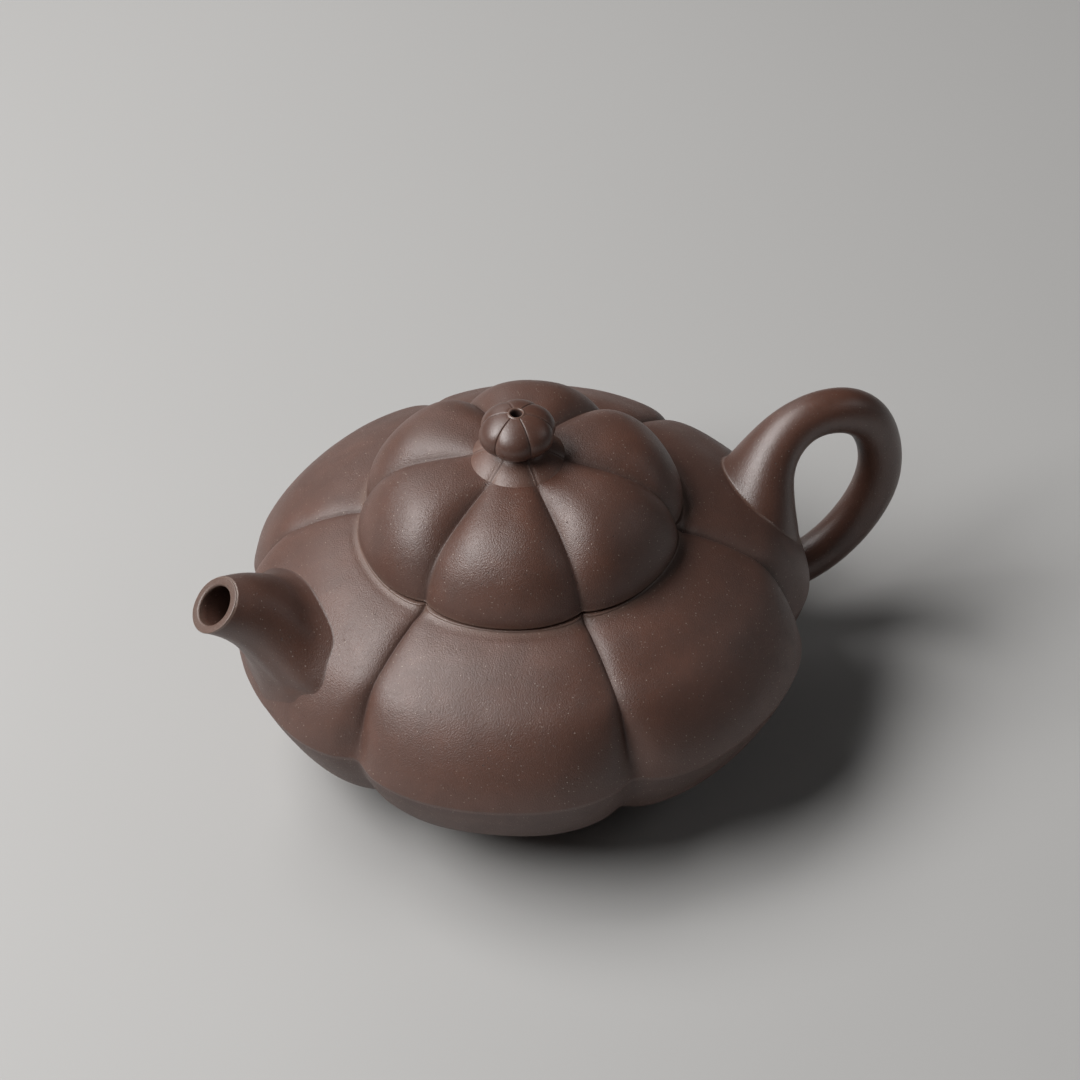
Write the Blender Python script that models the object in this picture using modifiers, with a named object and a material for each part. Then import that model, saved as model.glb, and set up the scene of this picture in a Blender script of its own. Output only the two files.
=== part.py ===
"""Six-lobed clay teapot: pot, spout, strainer, handle and lift-off lid.

Metres, +Z up, floor at Z = 0. The spout points along -X, the handle along +X.
The pot's own axis of lobes stands at X = AXIS_X, so that the whole object is
centred on the origin in plan.
"""
import math

import bmesh
import bpy
import numpy as np
from mathutils import Matrix, Vector

for old in list(bpy.data.objects):
    bpy.data.objects.remove(old, do_unlink=True)

# ---------------------------------------------------------------- dimensions
W = 0.0514            # reference radius that the profiles below are given in
EDGE_Z = 0.0252       # height of the widest edge above the floor
AXIS_X = -0.0070      # where the lobes' common axis stands
LOBES = 6
STEPS = 10            # facets across one lobe
WALL = 0.0026         # clay wall
GAP = 0.0003          # joint between neighbouring pieces
HALF = GAP / 2

SEAT = 0.4240         # mouth plane, in W above the edge
BORE_R = 0.0236       # round opening inside the mouth rim
RIM_DEEP = 0.0032     # depth of the mouth rim
FLANGE_R = 0.0230     # outside of the lid's round collar
FLANGE_WALL = 0.0025
FLANGE_DEEP = 0.0062  # how far the collar reaches below the mouth plane
VENT_R = 0.0011       # air hole through the lid and the knob

FLOOR_Z = 0.0022      # underside of the pot's floor
FLOOR_R = 0.0278
FOOT_OUT, FOOT_IN = 0.0294, 0.0254

HOLE_R = 0.0058       # hole in the shoulder behind the spout
DOME_R = 0.0088       # strainer dome
DOME_WALL = 0.0017
DRILL_R = 0.00075

# Profiles as (radius, height above the edge), in W: one along the groove
# between two lobes and one along the crest of a lobe.
SHOULDER_GROOVE = [(0.554, SEAT), (0.563, 0.400), (0.577, 0.374), (0.610, 0.347),
                   (0.660, 0.327), (0.715, 0.304), (0.770, 0.276), (0.825, 0.238),
                   (0.875, 0.187), (0.920, 0.130), (0.957, 0.068), (0.985, 0.0)]
SHOULDER_CREST = [(0.5915, SEAT), (0.5950, 0.4170), (0.605, 0.4110), (0.645, 0.4060),
                  (0.690, 0.3960), (0.740, 0.3770), (0.790, 0.3505), (0.832, 0.3240),
                  (0.895, 0.2830), (0.951, 0.2280), (1.001, 0.160), (1.039, 0.085), (1.0605, 0.0)]
BOWL_GROOVE = [(0.985, 0.0), (0.965, -0.075), (0.931, -0.155), (0.880, -0.235),
               (0.803, -0.315), (0.702, -0.385), (0.588, -0.432), (0.541, -0.4475)]
BOWL_CREST = [(1.0605, 0.0), (1.032, -0.075), (0.996, -0.150), (0.945, -0.235),
              (0.865, -0.320), (0.745, -0.395), (0.594, -0.440), (0.541, -0.4475)]
LID_GROOVE = [(0.5549, SEAT), (0.546, 0.461), (0.531, 0.500), (0.508, 0.540),
              (0.478, 0.577), (0.440, 0.608), (0.390, 0.636), (0.330, 0.661),
              (0.270, 0.681), (0.210, 0.698), (0.157, 0.716)]
LID_CREST = [(0.5918, SEAT), (0.591, 0.455), (0.583, 0.495), (0.566, 0.540),
             (0.538, 0.592), (0.496, 0.643), (0.440, 0.686), (0.370, 0.712),
             (0.297, 0.722), (0.220, 0.724), (0.157, 0.718)]
LID_INSIDE = [(0.455, 0.500), (0.420, 0.545), (0.370, 0.585), (0.300, 0.620),
              (0.200, 0.645), (0.100, 0.655)]
NECK_GROOVE = [(0.158, 0.7215), (0.152, 0.7250), (0.139, 0.7310), (0.123, 0.7390),
               (0.107, 0.7468), (0.091, 0.7560)]
NECK_CREST = [(0.168, 0.7215), (0.163, 0.7262), (0.148, 0.7345), (0.131, 0.7430),
              (0.112, 0.7500), (0.094, 0.7580)]
KNOB_R, KNOB_HALF, KNOB_Z = 0.139, 0.0870, 0.834  # melon bead, in W
KNOB_FLUTE = 0.08                                  # depth of its grooves, as a share

# Spout stations from lip to root: centre x, z, tilt of the section in degrees,
# half height, half width (all but the tilt in W).
SPOUT = [(-1.169, 0.455, 48, 0.1065, 0.1065), (-1.1023, 0.4235, 46, 0.1210, 0.1240),
         (-1.040, 0.3740, 44, 0.1325, 0.1510), (-0.990, 0.3080, 42, 0.1460, 0.1990),
         (-0.945, 0.2380, 41, 0.1620, 0.2560), (-0.885, 0.1880, 41, 0.1980, 0.3120),
         (-0.830, 0.1060, 40, 0.2550, 0.3300)]
SPOUT_BORE = (0.074, 0.125)  # bore radius at the lip and at the root, in W

# Handle stations from the upper root to the lower one: centre x, z, radius in
# the plane of the loop, radius across it, and drift out of that plane (in W).
HANDLE = [(0.846, 0.125, 0.190, 0.245, -0.082), (0.8761, 0.1993, 0.1734, 0.222, -0.075),
          (0.9159, 0.2806, 0.1347, 0.180, -0.058), (0.9645, 0.3604, 0.1034, 0.134, -0.033),
          (1.0389, 0.4313, 0.0860, 0.1015, -0.009), (1.1363, 0.4754, 0.0822, 0.086, 0),
          (1.242, 0.474, 0.083, 0.083, 0), (1.322, 0.440, 0.083, 0.083, 0), (1.380, 0.384, 0.083, 0.083, 0),
          (1.417, 0.307, 0.083, 0.083, 0), (1.437, 0.196, 0.083, 0.083, 0), (1.428, 0.086, 0.083, 0.083, 0),
          (1.381, -0.027, 0.083, 0.083, 0), (1.304, -0.127, 0.082, 0.082, 0), (1.214, -0.197, 0.080, 0.080, 0),
          (1.100, -0.240, 0.080, 0.080, 0), (0.970, -0.254, 0.083, 0.083, 0), (0.740, -0.246, 0.086, 0.086, 0)]

pot = bpy.data.collections.new("teapot")
cutters = bpy.data.collections.new("cutters")
bpy.context.scene.collection.children.link(pot)
bpy.context.scene.collection.children.link(cutters)


# ------------------------------------------------------------------- helpers
def spline(points, count):
    """Natural cubic through the points, sampled evenly by chord length."""
    p = np.asarray(points, float)
    k = len(p)
    s = np.concatenate([[0], np.cumsum(np.linalg.norm(np.diff(p, axis=0), axis=1))])
    s /= s[-1]
    h = np.diff(s)
    a, b = np.zeros((k, k)), np.zeros_like(p)
    a[0, 0] = a[-1, -1] = 1
    for i in range(1, k - 1):
        a[i, i - 1:i + 2] = h[i - 1], 2 * (h[i - 1] + h[i]), h[i]
        b[i] = 6 * ((p[i + 1] - p[i]) / h[i] - (p[i] - p[i - 1]) / h[i - 1])
    m = np.linalg.solve(a, b)
    t = np.linspace(0, 1, count)
    j = np.clip(np.searchsorted(s, t, side="right") - 1, 0, k - 2)
    u, v, w = (s[j + 1] - t)[:, None], (t - s[j])[:, None], h[j][:, None]
    return (m[j] * u**3 + m[j + 1] * v**3) / (6 * w) + (p[j] / w - m[j] * w / 6) * u \
        + (p[j + 1] / w - m[j + 1] * w / 6) * v


def pushed(curve, by):
    """The profile moved along its outward normal; it runs from top to bottom."""
    d = np.gradient(curve, axis=0)
    d /= np.linalg.norm(d, axis=1)[:, None]
    return curve + by * np.stack([-d[:, 1], d[:, 0]], -1)


def around(steps=STEPS):
    """(angle, position across the lobe from -1 to 1) for each point of a ring."""
    t = np.arange(steps) / steps * 2 - 1
    u = 0.55 * t + 0.45 * np.sin(t * math.pi / 2)
    angles = [(k + v / 2) * 2 * math.pi / LOBES for k in range(LOBES) for v in u]
    return np.array(angles), np.tile(u, LOBES)


def lobed(groove, crest, power=3.9, steps=STEPS):
    """One ring per profile point, swelling from the groove to the crest."""
    angle, u = around(steps)
    share = (1 - np.abs(u) ** power)[:, None]
    rings = []
    for g, c in zip(np.asarray(groove), np.asarray(crest)):
        q = g + (c - g) * share
        rings.append(np.stack([q[:, 0] * np.cos(angle), q[:, 0] * np.sin(angle), q[:, 1]], -1))
    return rings


def up_from_edge(curve):
    """Profile in W above the edge, to metres above the floor."""
    return np.asarray(curve) * W + np.array([0, EDGE_Z])


def add(name, mesh, where):
    obj = bpy.data.objects.new(name, mesh)
    where.objects.link(obj)
    obj.location.x = AXIS_X
    if where is cutters:
        obj.hide_render = True
        obj.display_type = "WIRE"
    return obj


def loft(name, rings, where=pot, looped=True):
    """Skin over rings of equal count: closed on itself, or capped at both ends."""
    bm = bmesh.new()
    rows = [[bm.verts.new(p) for p in ring] for ring in rings]
    n = len(rows[0])
    last = len(rows) if looped else len(rows) - 1
    for i in range(last):
        a, b = rows[i], rows[(i + 1) % len(rows)]
        for k in range(n):
            bm.faces.new((a[k], a[(k + 1) % n], b[(k + 1) % n], b[k]))
    if not looped:
        bm.faces.new(rows[0])
        bm.faces.new(rows[-1])
    bmesh.ops.recalc_face_normals(bm, faces=bm.faces)
    for face in bm.faces:
        face.smooth = True
    mesh = bpy.data.meshes.new(name)
    bm.to_mesh(mesh)
    bm.free()
    return add(name, mesh, where)


def turned(name, outline, steps=40, where=pot):
    """Round piece from an outline of (radius, height), by a Screw.

    The outline runs down its outer side; one that starts and ends on the axis
    is left open there.
    """
    bm = bmesh.new()
    verts = [bm.verts.new((r, 0, z)) for r, z in outline]
    on_axis = outline[0][0] == 0 and outline[-1][0] == 0
    for i, v in enumerate(verts[:-1] if on_axis else verts):
        bm.edges.new((v, verts[(i + 1) % len(verts)]))
    mesh = bpy.data.meshes.new(name)
    bm.to_mesh(mesh)
    bm.free()
    obj = add(name, mesh, where)
    screw = obj.modifiers.new("turn", "SCREW")
    screw.steps = screw.render_steps = steps
    screw.use_merge_vertices = True
    screw.merge_threshold = 0.00001
    screw.use_smooth_shade = True
    return obj


def cut(obj, tool, operation="DIFFERENCE"):
    mod = obj.modifiers.new(tool.name, "BOOLEAN")
    mod.operation, mod.object, mod.solver = operation, tool, "EXACT"


def clay(obj, name, colour, roughness):
    mat = bpy.data.materials.new(name)
    mat.use_nodes = True
    bsdf = mat.node_tree.nodes["Principled BSDF"]
    bsdf.inputs["Base Color"].default_value = (*colour, 1)
    bsdf.inputs["Roughness"].default_value = roughness
    bsdf.inputs["Metallic"].default_value = 0
    obj.data.materials.append(mat)


# --------------------------------------------------------------- pot: shells
def shell(groove, crest, rows, rows_in, top, bottom):
    """Rings down the outside of a lobed wall, and down its inside."""
    g, c = up_from_edge(spline(groove, rows)), up_from_edge(spline(crest, rows))
    gi = pushed(up_from_edge(spline(groove, rows_in)), -WALL)
    ci = pushed(up_from_edge(spline(crest, rows_in)), -WALL)
    for curve in (g, c, gi, ci):
        curve[0, 1], curve[-1, 1] = top, bottom
    return lobed(g, c), lobed(gi, ci, power=2.4)


seat_z = EDGE_Z + SEAT * W
outside, inside = shell(SHOULDER_GROOVE, SHOULDER_CREST, 12, 9, seat_z, EDGE_Z + HALF)
upper = loft("body_upper_shell", outside + inside[::-1])

outside, inside = shell(BOWL_GROOVE, BOWL_CREST, 8, 6, EDGE_Z - HALF, FLOOR_Z)
angle, _ = around()
ring = np.stack([FLOOR_R * np.cos(angle), FLOOR_R * np.sin(angle), 0 * angle], -1)
outside[-1] = ring + (0, 0, FLOOR_Z)
inside[-1] = ring + (0, 0, FLOOR_Z + WALL)
lower = loft("body_lower_shell", outside + inside[::-1])

# Solids used for trimming: the pot's outside grown by the joint gap, and its
# hollow shrunk by the same gap.
def grown():
    rings = []
    for groove, crest, rows in ((SHOULDER_GROOVE, SHOULDER_CREST, 12),
                                (BOWL_GROOVE, BOWL_CREST, 8)):
        g, c = up_from_edge(spline(groove, rows)), up_from_edge(spline(crest, rows))
        g, c = pushed(g, GAP), pushed(c, GAP)
        if rings:
            g, c = g[1:], c[1:]
        rings += lobed(g, c)
    return rings


envelope = loft("envelope", grown(), cutters, looped=False)
g, c = up_from_edge(spline(SHOULDER_GROOVE, 9)), up_from_edge(spline(SHOULDER_CREST, 9))
g, c = pushed(g, -WALL - GAP), pushed(c, -WALL - GAP)
hollow_rings = lobed(g, c, power=2.4)
hollow = loft("hollow", hollow_rings, cutters, looped=False)

# ---------------------------------------------------------------- mouth rim
def mouth_rim():
    """Lobed outside that follows the inside of the neck, round opening inside."""
    g = pushed(up_from_edge(spline(SHOULDER_GROOVE, 9)), -WALL - GAP)
    c = pushed(up_from_edge(spline(SHOULDER_CREST, 9)), -WALL - GAP)
    top = lobed([(g[0, 0], seat_z)], [(c[0, 0], seat_z)], power=2.4)[0]
    low = top - (0, 0, RIM_DEEP)
    round_ = np.stack([BORE_R * np.cos(angle), BORE_R * np.sin(angle), 0 * angle], -1)
    return loft("mouth_rim", [top, low, round_ + (0, 0, seat_z - RIM_DEEP), round_ + (0, 0, seat_z)])


rim = mouth_rim()

# ------------------------------------------------------------ floor and foot
base = turned("base_disc", [(0, FLOOR_Z + WALL), (FLOOR_R - GAP - 0.0006, FLOOR_Z + WALL),
                            (FLOOR_R - GAP, FLOOR_Z + WALL - 0.0004),
                            (FLOOR_R - GAP, FLOOR_Z), (0, FLOOR_Z)])
foot = turned("foot_ring", [(FOOT_IN, FLOOR_Z - GAP), (FOOT_OUT - 0.0003, FLOOR_Z - GAP),
                            (FOOT_OUT, 0.0007), (FOOT_OUT - 0.0006, 0), (FOOT_IN + 0.0004, 0),
                            (FOOT_IN, 0.0006)])

# -------------------------------------------------------------------- spout
def sections(stations, rows, bore=None, around_steps=24):
    """Oval sections along a curve in the XZ plane, each with its own tilt."""
    q = spline(np.array(stations) * (1, 1, 0.01, 1, 1), rows)
    turn = np.linspace(0, 2 * math.pi, around_steps, endpoint=False)
    rings = []
    for i, (x, z, tilt, tall, wide) in enumerate(q):
        tilt = math.radians(tilt * 100)
        if bore:
            tall = wide = bore[0] + (bore[1] - bore[0]) * i / (rows - 1)
        up = np.array([math.sin(tilt), 0, math.cos(tilt)])
        p = np.array([x, 0, z]) + tall * np.cos(turn)[:, None] * up \
            + wide * np.sin(turn)[:, None] * np.array([0, 1, 0])
        rings.append(p * W + (0, 0, EDGE_Z))
    return rings


spout = loft("spout", sections(SPOUT, 11) + sections(SPOUT, 7, SPOUT_BORE)[::-1])
cut(spout, envelope)

# The hole behind the spout, bored along the spout's root.
root = np.array([SPOUT[-2][0], 0, SPOUT[-2][1]]) * W + (0, 0, EDGE_Z)
lean = math.radians(90 - SPOUT[-2][2])


def cylinders(name, radius, length, steps, places):
    """Cylinders as one cutter; each place is (middle, direction)."""
    bm = bmesh.new()
    for middle, direction in places:
        turn = Vector((0, 0, 1)).rotation_difference(Vector(direction)).to_matrix().to_4x4()
        bmesh.ops.create_cone(bm, cap_ends=True, segments=steps, radius1=radius, radius2=radius,
                              depth=length, matrix=Matrix.Translation(Vector(middle)) @ turn)
    mesh = bpy.data.meshes.new(name)
    bm.to_mesh(mesh)
    bm.free()
    return add(name, mesh, cutters)


along = np.array([-math.sin(lean), 0, math.cos(lean)])
cut(upper, cylinders("wall_hole", HOLE_R, 0.016, 24, [(root, along)]))

# ----------------------------------------------------------------- strainer
def ball(name, radius, centre, where):
    bm = bmesh.new()
    bmesh.ops.create_uvsphere(bm, u_segments=20, v_segments=12, radius=radius)
    for v in bm.verts:
        v.co.x, v.co.z = v.co.x + centre[0], v.co.z + centre[2]
    for face in bm.faces:
        face.smooth = True
    mesh = bpy.data.meshes.new(name)
    bm.to_mesh(mesh)
    bm.free()
    return add(name, mesh, where)


dome_at = root - along * 0.0020
strainer = ball("ball_strainer", DOME_R, dome_at, pot)
dome_core = ball("dome_core", DOME_R - DOME_WALL, dome_at, cutters)
cut(strainer, dome_core)
cut(strainer, hollow, "INTERSECT")


def drill_places():
    """Strainer holes: one at the crown and two rings about it."""
    inward, side = -along, np.array([0, 1.0, 0])
    other = np.cross(inward, side)
    places = []
    for count, tilt in ((1, 0), (6, 28), (10, 53)):
        for k in range(count):
            a, t = 2 * math.pi * k / count, math.radians(tilt)
            d = inward * math.cos(t) + (side * math.cos(a) + other * math.sin(a)) * math.sin(t)
            places.append((dome_at + d * (DOME_R - DOME_WALL / 2), d))
    return places


cut(strainer, cylinders("drills", DRILL_R, 0.0036, 8, drill_places()))

# ------------------------------------------------------------------- handle
def ear_loop(rows=34, around_steps=18):
    """Oval sections square to a loop in the XZ plane, flared at its upper root."""
    q = spline(HANDLE, rows)
    d = np.gradient(q[:, :2], axis=0)
    d /= np.linalg.norm(d, axis=1)[:, None]
    turn = np.linspace(0, 2 * math.pi, around_steps, endpoint=False)
    rings = []
    for (x, z, tall, wide, drift), (dx, dz) in zip(q, d):
        p = np.array([x, drift, z]) + tall * np.cos(turn)[:, None] * np.array([-dz, 0, dx]) \
            + wide * np.sin(turn)[:, None] * np.array([0, 1, 0])
        rings.append(p * W + (0, 0, EDGE_Z))
    return loft("handle", rings, looped=False)


handle = ear_loop()
cut(handle, envelope)

# ---------------------------------------------------------------------- lid
def circle(radius, z, a=angle):
    return np.stack([radius * np.cos(a), radius * np.sin(a), z + 0 * a], -1)


under = seat_z + GAP
g, c = up_from_edge(spline(LID_GROOVE, 11)), up_from_edge(spline(LID_CREST, 11))
g[0, 1] = c[0, 1] = under
crown = up_from_edge([(0, NECK_GROOVE[0][1])])[0, 1] - GAP
g[-1, 1] = c[-1, 1] = crown
ceiling = up_from_edge(spline(LID_INSIDE, 5))
lid_rings = lobed(g, c, power=3.1)
lid_rings[-1] = circle(0.157 * W, crown)
lid_rings += [circle(VENT_R, crown), circle(VENT_R, ceiling[-1, 1] + 0.0001)]
lid_rings += [circle(r, z) for r, z in ceiling[::-1]]
lid_rings += [circle(FLANGE_R + GAP, ceiling[0, 1] - 0.0012), circle(FLANGE_R + GAP, under)]
lid = loft("lid_dome", lid_rings)

flange_in = FLANGE_R - FLANGE_WALL
flange_top = ceiling[0, 1] - 0.0014
flange = turned("lid_flange", [
    (flange_in, flange_top), (FLANGE_R, flange_top), (FLANGE_R, seat_z - FLANGE_DEEP + 0.0008),
    (FLANGE_R - 0.0006, seat_z - FLANGE_DEEP), (flange_in + 0.0005, seat_z - FLANGE_DEEP),
    (flange_in, seat_z - FLANGE_DEEP + 0.0006)])

# -------------------------------------------------------------------- knob
fine = 6
fine_angle, fine_u = around(fine)
g, c = up_from_edge(spline(NECK_GROOVE, 7)), up_from_edge(spline(NECK_CREST, 7))
neck_top = g[-1, 1]
g[-1, 1] = c[-1, 1] = neck_top
neck_rings = lobed(g, c, power=2.4, steps=fine)
neck_rings += [circle(VENT_R, neck_top, fine_angle), circle(VENT_R, g[0, 1], fine_angle)]
neck = loft("knob_neck", neck_rings)


def knob_rings(rows=11):
    """Melon bead: a flattened ball with a shallow flute between lobes."""
    low = neck_top + GAP
    mid, tall, wide = EDGE_Z + KNOB_Z * W, KNOB_HALF * W, KNOB_R * W
    start = math.asin((low - mid) / tall)
    rings = []
    for p in np.linspace(start, math.radians(75), rows):
        r = wide * math.cos(p) ** (0.9 if p > 0 else 1.25)
        flute = KNOB_FLUTE * math.cos(p) ** 0.5 * np.abs(fine_u) ** 2.2
        q = r * (1 - flute)
        rings.append(np.stack([q * np.cos(fine_angle), q * np.sin(fine_angle),
                               mid + tall * math.sin(p) + 0 * q], -1))
    top = rings[-1][0, 2]
    rings += [circle(VENT_R + 0.0006, top + 0.0002, fine_angle), circle(VENT_R, top, fine_angle),
              circle(VENT_R, low, fine_angle)]
    return rings


knob = loft("knob", knob_rings())

# ---------------------------------------------------------------- materials
BROWN = (0.118, 0.072, 0.055)
for obj, shade, rough in ((upper, 1.0, 0.50), (lower, 0.92, 0.54), (rim, 0.95, 0.58),
                          (base, 0.88, 0.62), (foot, 0.88, 0.62), (spout, 0.98, 0.50),
                          (strainer, 0.95, 0.60), (handle, 0.98, 0.48), (lid, 1.0, 0.49),
                          (flange, 0.95, 0.60), (neck, 1.04, 0.47), (knob, 1.06, 0.44)):
    clay(obj, obj.name + "_clay", tuple(v * shade for v in BROWN), rough)
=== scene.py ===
"""Looks of the six-lobed clay teapot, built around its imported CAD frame.

Every visible piece is a finer mesh of the CAD node it stands for, in the same
frame: metres, +Z up, floor at Z = 0, spout along -X and handle along +X.
"""

import math

import bpy
import numpy as np
from mathutils import Matrix, Vector, kdtree, noise
from mathutils.bvhtree import BVHTree


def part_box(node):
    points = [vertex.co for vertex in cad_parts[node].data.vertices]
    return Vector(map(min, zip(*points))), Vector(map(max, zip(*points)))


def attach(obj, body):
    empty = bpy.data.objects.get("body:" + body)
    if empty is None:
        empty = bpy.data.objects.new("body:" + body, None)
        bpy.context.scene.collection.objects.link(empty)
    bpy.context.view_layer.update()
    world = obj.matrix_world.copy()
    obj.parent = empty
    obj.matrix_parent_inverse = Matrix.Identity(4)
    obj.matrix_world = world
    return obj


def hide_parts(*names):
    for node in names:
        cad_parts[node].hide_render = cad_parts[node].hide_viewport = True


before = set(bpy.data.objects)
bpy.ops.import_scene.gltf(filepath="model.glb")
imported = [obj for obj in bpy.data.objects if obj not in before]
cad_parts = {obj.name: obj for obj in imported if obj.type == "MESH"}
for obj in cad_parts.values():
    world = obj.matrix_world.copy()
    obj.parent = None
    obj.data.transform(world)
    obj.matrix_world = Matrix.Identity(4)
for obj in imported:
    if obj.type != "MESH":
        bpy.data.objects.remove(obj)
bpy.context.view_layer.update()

# ------------------------------------------------------- places from the frame
W = 0.0514                                   # the profiles' unit length
HALF = 0.00015
EDGE_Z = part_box("body_upper_shell")[0].z - HALF          # the widest edge
SEAT_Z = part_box("body_upper_shell")[1].z                 # the mouth plane
AXIS_X = (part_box("lid_flange")[0].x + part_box("lid_flange")[1].x) / 2
FLOOR_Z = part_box("base_disc")[0].z
FLOOR_R = (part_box("base_disc")[1].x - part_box("base_disc")[0].x) / 2 + 0.0003
FOOT_OUT = (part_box("foot_ring")[1].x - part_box("foot_ring")[0].x) / 2
FLANGE_R = (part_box("lid_flange")[1].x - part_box("lid_flange")[0].x) / 2
FLANGE_LOW, FLANGE_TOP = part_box("lid_flange")[0].z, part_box("lid_flange")[1].z
NECK_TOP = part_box("knob_neck")[1].z
LID_LOW, LID_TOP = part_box("lid_dome")[0].z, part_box("lid_dome")[1].z
SEAT = (SEAT_Z - EDGE_Z) / W
WALL = 0.0026
BORE_R = 0.0236
VENT_R = 0.00108
LOBES = 6

# Profiles as (radius, height above the edge), in W: one along the groove
# between two lobes and one along the crest of a lobe.
SHOULDER_GROOVE = [(0.554, SEAT), (0.563, 0.400), (0.577, 0.374), (0.610, 0.347),
                   (0.660, 0.327), (0.715, 0.304), (0.770, 0.276), (0.825, 0.238),
                   (0.875, 0.187), (0.920, 0.130), (0.957, 0.068), (0.985, 0.0)]
SHOULDER_CREST = [(0.5915, SEAT), (0.5935, 0.4195), (0.5995, 0.4152), (0.622, 0.4115), (0.650, 0.4062),
                  (0.690, 0.3960), (0.740, 0.3770), (0.790, 0.3505), (0.832, 0.3240),
                  (0.895, 0.2830), (0.951, 0.2280), (1.001, 0.160), (1.039, 0.085), (1.0605, 0.0)]
BOWL_GROOVE = [(0.985, 0.0), (0.965, -0.075), (0.931, -0.155), (0.880, -0.235),
               (0.803, -0.315), (0.702, -0.385), (0.588, -0.432), (0.541, -0.4475)]
BOWL_CREST = [(1.0605, 0.0), (1.032, -0.075), (0.996, -0.150), (0.945, -0.235),
              (0.865, -0.320), (0.745, -0.395), (0.594, -0.440), (0.541, -0.4475)]
LID_GROOVE = [(0.5549, SEAT), (0.546, 0.461), (0.531, 0.500), (0.508, 0.540),
              (0.478, 0.577), (0.440, 0.608), (0.390, 0.636), (0.330, 0.661),
              (0.270, 0.681), (0.210, 0.698), (0.150, 0.717)]
LID_CREST = [(0.5918, SEAT), (0.591, 0.455), (0.583, 0.495), (0.566, 0.540),
             (0.538, 0.592), (0.496, 0.643), (0.440, 0.686), (0.370, 0.712),
             (0.297, 0.722), (0.220, 0.724), (0.150, 0.719)]
LID_INSIDE = [(0.455, 0.500), (0.420, 0.545), (0.370, 0.585), (0.300, 0.620),
              (0.200, 0.645), (0.100, 0.655)]
NECK_GROOVE = [(0.162, 0.7120), (0.158, 0.7158), (0.151, 0.7212), (0.139, 0.7295),
               (0.123, 0.7385), (0.107, 0.7465), (0.091, 0.7555), (0.082, 0.7640)]
NECK_CREST = [(0.172, 0.7178), (0.167, 0.7220), (0.159, 0.7275), (0.146, 0.7350),
              (0.131, 0.7425), (0.112, 0.7497), (0.094, 0.7577), (0.084, 0.7660)]
KNOB_R, KNOB_HALF, KNOB_Z, KNOB_FLUTE = 0.139, 0.0870, 0.834, 0.08

# Spout stations from lip to root: centre x, z, tilt of the section in degrees,
# half height and half width (all but the tilt in W).
SPOUT = [(-1.169, 0.455, 48, 0.1065, 0.1065), (-1.1023, 0.4235, 46, 0.1210, 0.1240),
         (-1.040, 0.3740, 44, 0.1325, 0.1510), (-0.990, 0.3080, 42, 0.1460, 0.1990),
         (-0.945, 0.2380, 41, 0.1620, 0.2560), (-0.885, 0.1880, 41, 0.1980, 0.3120),
         (-0.830, 0.1060, 40, 0.2550, 0.3300)]
SPOUT_BORE = (0.074, 0.125)

# Handle stations from the upper root to the lower one: centre x, z, radius in
# the plane of the loop, radius across it, and drift out of that plane (in W).
HANDLE = [(0.846, 0.125, 0.200, 0.250, -0.082), (0.8761, 0.1993, 0.1734, 0.222, -0.075),
          (0.9159, 0.2806, 0.1347, 0.180, -0.058), (0.9645, 0.3604, 0.1034, 0.134, -0.033),
          (1.0389, 0.4313, 0.0860, 0.1015, -0.009), (1.1363, 0.4754, 0.0822, 0.086, 0),
          (1.242, 0.474, 0.083, 0.083, 0), (1.322, 0.440, 0.083, 0.083, 0), (1.380, 0.384, 0.083, 0.083, 0),
          (1.417, 0.307, 0.083, 0.083, 0), (1.437, 0.196, 0.083, 0.083, 0), (1.428, 0.086, 0.083, 0.083, 0),
          (1.381, -0.027, 0.083, 0.083, 0), (1.304, -0.127, 0.082, 0.082, 0), (1.214, -0.197, 0.080, 0.080, 0),
          (1.100, -0.240, 0.080, 0.080, 0), (0.970, -0.254, 0.084, 0.084, 0), (0.800, -0.250, 0.087, 0.087, 0)]


# --------------------------------------------------------------------- helpers
def spline(points, t):
    """Natural cubic through the points, at the given shares of its chord length."""
    p = np.asarray(points, float)
    k = len(p)
    s = np.concatenate([[0], np.cumsum(np.linalg.norm(np.diff(p, axis=0), axis=1))])
    s /= s[-1]
    h = np.diff(s)
    a, b = np.zeros((k, k)), np.zeros_like(p)
    a[0, 0] = a[-1, -1] = 1
    for i in range(1, k - 1):
        a[i, i - 1:i + 2] = h[i - 1], 2 * (h[i - 1] + h[i]), h[i]
        b[i] = 6 * ((p[i + 1] - p[i]) / h[i] - (p[i] - p[i - 1]) / h[i - 1])
    m = np.linalg.solve(a, b)
    t = np.clip(np.asarray(t, float), 0, 1)
    j = np.clip(np.searchsorted(s, t, side="right") - 1, 0, k - 2)
    u, v, w = (s[j + 1] - t)[:, None], (t - s[j])[:, None], h[j][:, None]
    return (m[j] * u**3 + m[j + 1] * v**3) / (6 * w) + (p[j] / w - m[j] * w / 6) * u \
        + (p[j + 1] / w - m[j + 1] * w / 6) * v


def up(curve):
    """Profile in W above the edge, to metres above the floor."""
    return np.asarray(curve, float) * W + np.array([0, EDGE_Z])


def smooth01(x):
    x = np.clip(x, 0, 1)
    return x * x * (3 - 2 * x)


def pushed(curve, by):
    d = np.gradient(curve, axis=0)
    d /= np.linalg.norm(d, axis=1)[:, None]
    return curve + by * np.stack([-d[:, 1], d[:, 0]], -1)


def round_corner(before, corner, after, radius, count=6):
    """Points of a small arc that replaces a corner of a profile."""
    c = np.asarray(corner, float)
    a, b = np.asarray(before, float) - c, np.asarray(after, float) - c
    a, b = a / np.linalg.norm(a) * radius, b / np.linalg.norm(b) * radius
    t = np.linspace(0, 1, count)[:, None]
    return c + a * (1 - t) ** 2 + b * t ** 2


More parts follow.
